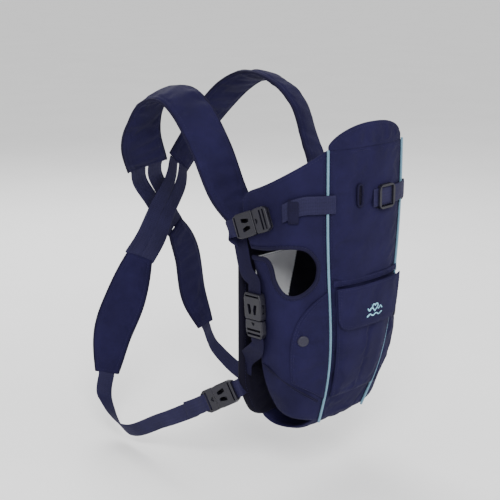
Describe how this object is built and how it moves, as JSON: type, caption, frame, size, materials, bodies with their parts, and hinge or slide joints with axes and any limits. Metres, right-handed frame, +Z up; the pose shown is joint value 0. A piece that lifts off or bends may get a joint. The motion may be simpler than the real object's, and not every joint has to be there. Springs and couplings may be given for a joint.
{
  "type": "soft baby carrier",
  "caption": "Soft front baby carrier: padded harness, curved pouch with arm holes, padded straps crossing on the back, webbing and side-release buckles.",
  "frame": {"origin": "middle of the harness panel's face against the wearer's chest", "axes": "+Z up the wearer's trunk, +Y from the chest face towards the wearer's back, -Y the way the wearer faces, -X the wearer's right"},
  "size_m": [0.2918, 0.4721, 0.5572],
  "materials": {
    "shell_fabric": "woven navy twill",
    "dark_lining": "dark navy woven lining",
    "foam_padding": "open-cell padding inside its cover",
    "webbing": "flat woven webbing, slightly lighter than the shell",
    "binding_tape": "folded binding tape",
    "piping_cord": "light blue corded piping",
    "grey_lining": "light grey sewn patch",
    "emblem_thread": "raised light blue embroidery",
    "hook_and_loop": "hook and loop tape",
    "buckle_plastic": "moulded acetal with a low sheen",
    "prong_plastic": "moulded acetal",
    "snap_plastic": "charcoal moulded snap cap"
  },
  "bodies": {
    "carrier": {"arm_bindings": "binding_tape", "back_straps_left": "webbing", "back_straps_right": "webbing", "band_keepers": "webbing", "band_slot_trim": "binding_tape", "buckle_side_left_plug": "buckle_plastic", "buckle_side_left_receiver": "buckle_plastic", "buckle_side_right_plug": "buckle_plastic", "buckle_side_right_receiver": "buckle_plastic", "buckle_top_left_plug": "buckle_plastic", "buckle_top_left_receiver": "buckle_plastic", "buckle_top_right_plug": "buckle_plastic", "buckle_top_right_receiver": "buckle_plastic", "buckle_waist_left_plug": "buckle_plastic", "buckle_waist_left_receiver": "buckle_plastic", "buckle_waist_right_plug": "buckle_plastic", "buckle_waist_right_receiver": "buckle_plastic", "chest_band_left": "webbing", "chest_band_right": "webbing", "front_lining": "dark_lining", "front_panel": "shell_fabric", "harness_cover": "dark_lining", "harness_foam": "foam_padding", "leg_snaps": "snap_plastic", "leg_tabs": "shell_fabric", "lining_patch": "grey_lining", "lower_pad_left": "shell_fabric", "lower_pad_right": "shell_fabric", "piping": "piping_cord", "pocket_body": "shell_fabric", "pocket_loop_patch": "hook_and_loop", "seat_strip": "shell_fabric", "shoulder_pad_left": "shell_fabric", "shoulder_pad_right": "shell_fabric", "side_anchors": "webbing", "side_straps": "webbing", "side_wing_left": "shell_fabric", "side_wing_right": "shell_fabric", "top_straps": "webbing", "waist_anchors": "webbing", "waist_webbing_left": "webbing", "waist_webbing_right": "webbing"},
    "top_right_prong_a": {"buckle_top_right_prong_a": "prong_plastic"},
    "top_right_prong_b": {"buckle_top_right_prong_b": "prong_plastic"},
    "top_left_prong_a": {"buckle_top_left_prong_a": "prong_plastic"},
    "top_left_prong_b": {"buckle_top_left_prong_b": "prong_plastic"},
    "side_right_prong_a": {"buckle_side_right_prong_a": "prong_plastic"},
    "side_right_prong_b": {"buckle_side_right_prong_b": "prong_plastic"},
    "side_left_prong_a": {"buckle_side_left_prong_a": "prong_plastic"},
    "side_left_prong_b": {"buckle_side_left_prong_b": "prong_plastic"},
    "waist_right_prong_a": {"buckle_waist_right_prong_a": "prong_plastic"},
    "waist_right_prong_b": {"buckle_waist_right_prong_b": "prong_plastic"},
    "waist_left_prong_a": {"buckle_waist_left_prong_a": "prong_plastic"},
    "waist_left_prong_b": {"buckle_waist_left_prong_b": "prong_plastic"},
    "head_support": {"head_flap": "shell_fabric"},
    "pocket_cover": {"pocket_flap": "shell_fabric", "pocket_hook_patch": "hook_and_loop", "emblem_patch": "emblem_thread"},
    "webbing_slider": {"slider": "buckle_plastic"}
  },
  "joints": [
    {"name": "top_right_prong_a_squeeze", "type": "hinge", "parent": "carrier", "child": "top_right_prong_a", "pos_m": [-0.135, -0.04381, 0.0956], "axis": [-1, 0, 0], "range_deg": [0, 6], "stiffness_Nm_per_rad": 1},
    {"name": "top_right_prong_b_squeeze", "type": "hinge", "parent": "carrier", "child": "top_right_prong_b", "pos_m": [-0.135, -0.0515, 0.07606], "axis": [1, 0, 0], "range_deg": [0, 6], "stiffness_Nm_per_rad": 1},
    {"name": "top_left_prong_a_squeeze", "type": "hinge", "parent": "carrier", "child": "top_left_prong_a", "pos_m": [0.135, -0.0515, 0.07606], "axis": [1, 0, 0], "range_deg": [0, 6], "stiffness_Nm_per_rad": 1},
    {"name": "top_left_prong_b_squeeze", "type": "hinge", "parent": "carrier", "child": "top_left_prong_b", "pos_m": [0.135, -0.04381, 0.0956], "axis": [-1, 0, 0], "range_deg": [0, 6], "stiffness_Nm_per_rad": 1},
    {"name": "side_right_prong_a_squeeze", "type": "hinge", "parent": "carrier", "child": "side_right_prong_a", "pos_m": [-0.12994, -0.05269, -0.05049], "axis": [-0.9948, 0.0983, -0.0248], "range_deg": [0, 6], "stiffness_Nm_per_rad": 1},
    {"name": "side_right_prong_b_squeeze", "type": "hinge", "parent": "carrier", "child": "side_right_prong_b", "pos_m": [-0.12786, -0.03181, -0.05149], "axis": [0.9948, -0.0983, 0.0248], "range_deg": [0, 6], "stiffness_Nm_per_rad": 1},
    {"name": "side_left_prong_a_squeeze", "type": "hinge", "parent": "carrier", "child": "side_left_prong_a", "pos_m": [0.12786, -0.03181, -0.05149], "axis": [0.9948, 0.0983, -0.0248], "range_deg": [0, 6], "stiffness_Nm_per_rad": 1},
    {"name": "side_left_prong_b_squeeze", "type": "hinge", "parent": "carrier", "child": "side_left_prong_b", "pos_m": [0.12994, -0.05269, -0.05049], "axis": [-0.9948, -0.0983, 0.0248], "range_deg": [0, 6], "stiffness_Nm_per_rad": 1},
    {"name": "waist_right_prong_a_squeeze", "type": "hinge", "parent": "carrier", "child": "waist_right_prong_a", "pos_m": [-0.12904, 0.02594, -0.19258], "axis": [-0.9921, -0.1244, 0.0148], "range_deg": [0, 6], "stiffness_Nm_per_rad": 1},
    {"name": "waist_right_prong_b_squeeze", "type": "hinge", "parent": "carrier", "child": "waist_right_prong_b", "pos_m": [-0.1301, 0.03659, -0.17451], "axis": [0.9921, 0.1244, -0.0148], "range_deg": [0, 6], "stiffness_Nm_per_rad": 1},
    {"name": "waist_left_prong_a_squeeze", "type": "hinge", "parent": "carrier", "child": "waist_left_prong_a", "pos_m": [0.1301, 0.03659, -0.17451], "axis": [0.9921, -0.1244, 0.0148], "range_deg": [0, 6], "stiffness_Nm_per_rad": 1},
    {"name": "waist_left_prong_b_squeeze", "type": "hinge", "parent": "carrier", "child": "waist_left_prong_b", "pos_m": [0.12904, 0.02594, -0.19258], "axis": [-0.9921, 0.1244, -0.0148], "range_deg": [0, 6], "stiffness_Nm_per_rad": 1},
    {"name": "head_support_fold", "type": "hinge", "parent": "carrier", "child": "head_support", "pos_m": [0, -0.13957, 0.1833], "axis": [1, 0, 0], "range_deg": [0, 145]},
    {"name": "pocket_flap_lift", "type": "hinge", "parent": "carrier", "child": "pocket_cover", "pos_m": [0, -0.1486, -0.003], "axis": [-1, 0, 0], "range_deg": [0, 110]},
    {"name": "slider_travel", "type": "slide", "parent": "carrier", "child": "webbing_slider", "axis": [0.9982, 0.0592, 0], "range_m": [-0.008, 0.008]}
  ]
}
